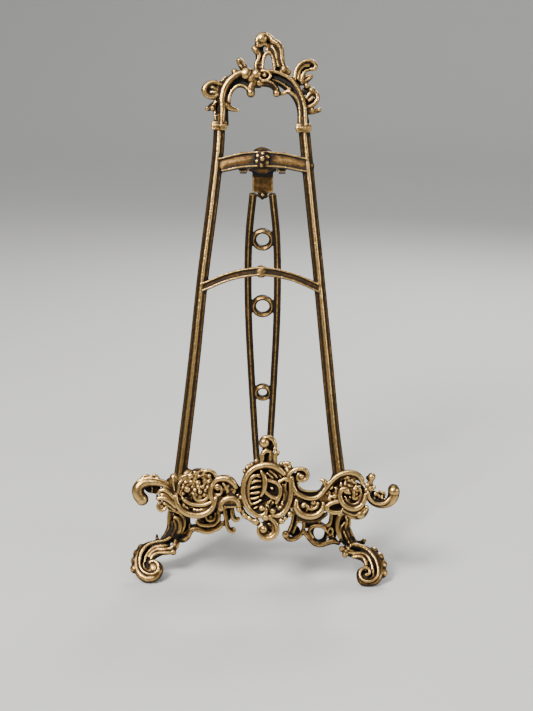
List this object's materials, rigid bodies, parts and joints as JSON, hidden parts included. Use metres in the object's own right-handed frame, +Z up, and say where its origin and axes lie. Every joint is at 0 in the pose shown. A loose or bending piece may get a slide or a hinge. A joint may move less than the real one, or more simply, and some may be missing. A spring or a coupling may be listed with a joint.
{
  "type": "plate display stand",
  "caption": "Folding rococo brass easel that holds one plate upright on a pierced front rail, with two scroll feet and a hinged rear strut.",
  "frame": {"origin": "middle of the stand's bounding box, on the table it stands on", "axes": "+Z up; the stand and the plate face -Y; +X is the viewer's right"},
  "size_m": [0.1098, 0.1046, 0.2202],
  "materials": {
    "antique_brass": "cast brass, dark patina in the hollows and rubbed bright on the ridges",
    "rail_brass": "cast brass with a gold lacquer, dark patina in the hollows",
    "ledge_brass": "drawn bar, filed and toned dark",
    "fastener_steel": "small steel fasteners, browned with age",
    "pin_brass": "turned brass, ends hammered over"
  },
  "bodies": {
    "stand": {"back_frame": "antique_brass", "front_rail": "rail_brass", "ledge_arm_left": "ledge_brass", "ledge_arm_right": "ledge_brass", "arm_screws": "fastener_steel", "arm_washers": "fastener_steel", "rail_rivets": "pin_brass", "hinge_pin": "pin_brass", "hinge_washers": "pin_brass"},
    "strut": {"rear_strut": "antique_brass"}
  },
  "joints": [
    {"name": "strut_fold", "type": "hinge", "parent": "stand", "child": "strut", "pos_m": [-0.0014, 0.02181, 0.16688], "axis": [-1, 0, 0], "range_deg": [0, 22]}
  ]
}
